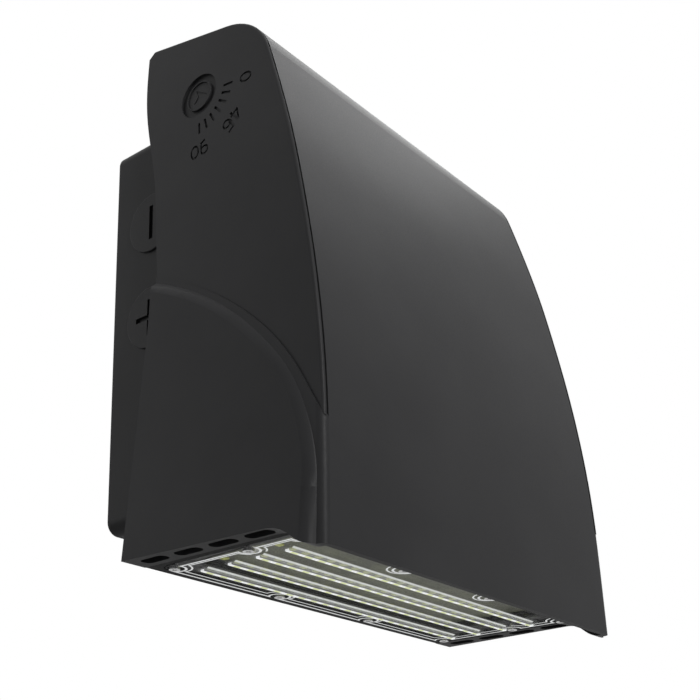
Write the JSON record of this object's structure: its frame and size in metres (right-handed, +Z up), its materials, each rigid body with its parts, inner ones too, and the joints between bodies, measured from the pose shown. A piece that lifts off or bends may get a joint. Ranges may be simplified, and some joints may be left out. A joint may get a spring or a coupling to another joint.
{
  "type": "adjustable wall pack light",
  "caption": "Black outdoor wall light with a wedge-shaped head that tilts on a wall box, ribbed clear lens in the underside.",
  "frame": {"origin": "middle of the wall box's back, on the wall plane", "axes": "+X along the wall, +Y into the wall, +Z up"},
  "size_m": [0.25, 0.1615, 0.3094],
  "materials": {
    "black_paint": "satin black powder coat",
    "black_tray": "satin black powder coat",
    "black_rubber": "matte",
    "grey_rubber": "matte",
    "zinc_steel": "zinc plated",
    "stainless": "bright",
    "plug_black": "satin black",
    "nylon": "moulded nylon",
    "board": "solder mask on aluminium",
    "diode": "yellow phosphor",
    "clear_lens": "clear polycarbonate",
    "driver_case": "light grey",
    "sheath": "black cable sheath",
    "block": "moulded",
    "earth_green": "green plated"
  },
  "bodies": {
    "wall_body": {"wall_box": "black_paint", "wall_gasket": "grey_rubber", "wire_grommet": "black_rubber", "box_cover": "black_paint", "box_cover_gasket": "grey_rubber", "box_cover_screws": "zinc_steel", "plug_upper_left": "plug_black", "plug_lower_left": "plug_black", "plug_upper_right": "plug_black", "plug_lower_right": "plug_black", "plug_seals": "black_rubber", "pivot_pin_left": "zinc_steel", "pivot_pin_right": "zinc_steel", "pivot_nuts": "zinc_steel", "friction_washers": "nylon", "pivot_cap_left": "black_paint", "pivot_cap_right": "black_paint", "terminal_block": "block", "terminal_screws": "zinc_steel", "ground_screw": "earth_green", "supply_lead": "sheath"},
    "head": {"head_housing": "black_paint", "rear_cover": "black_tray", "rear_cover_screws": "zinc_steel", "engine_tray": "black_tray", "tray_screws": "zinc_steel", "led_board": "board", "led_chips": "diode", "lens": "clear_lens", "lens_gasket": "grey_rubber", "lens_screws": "stainless", "driver": "driver_case", "driver_screws": "zinc_steel", "driver_lead": "sheath", "board_lead": "sheath", "board_connector": "block"}
  },
  "joints": [
    {"name": "head_tilt", "type": "hinge", "parent": "wall_body", "child": "head", "pos_m": [0, -0.0716, 0.1116], "axis": [-1, 0, 0], "range_deg": [0, 90]}
  ]
}
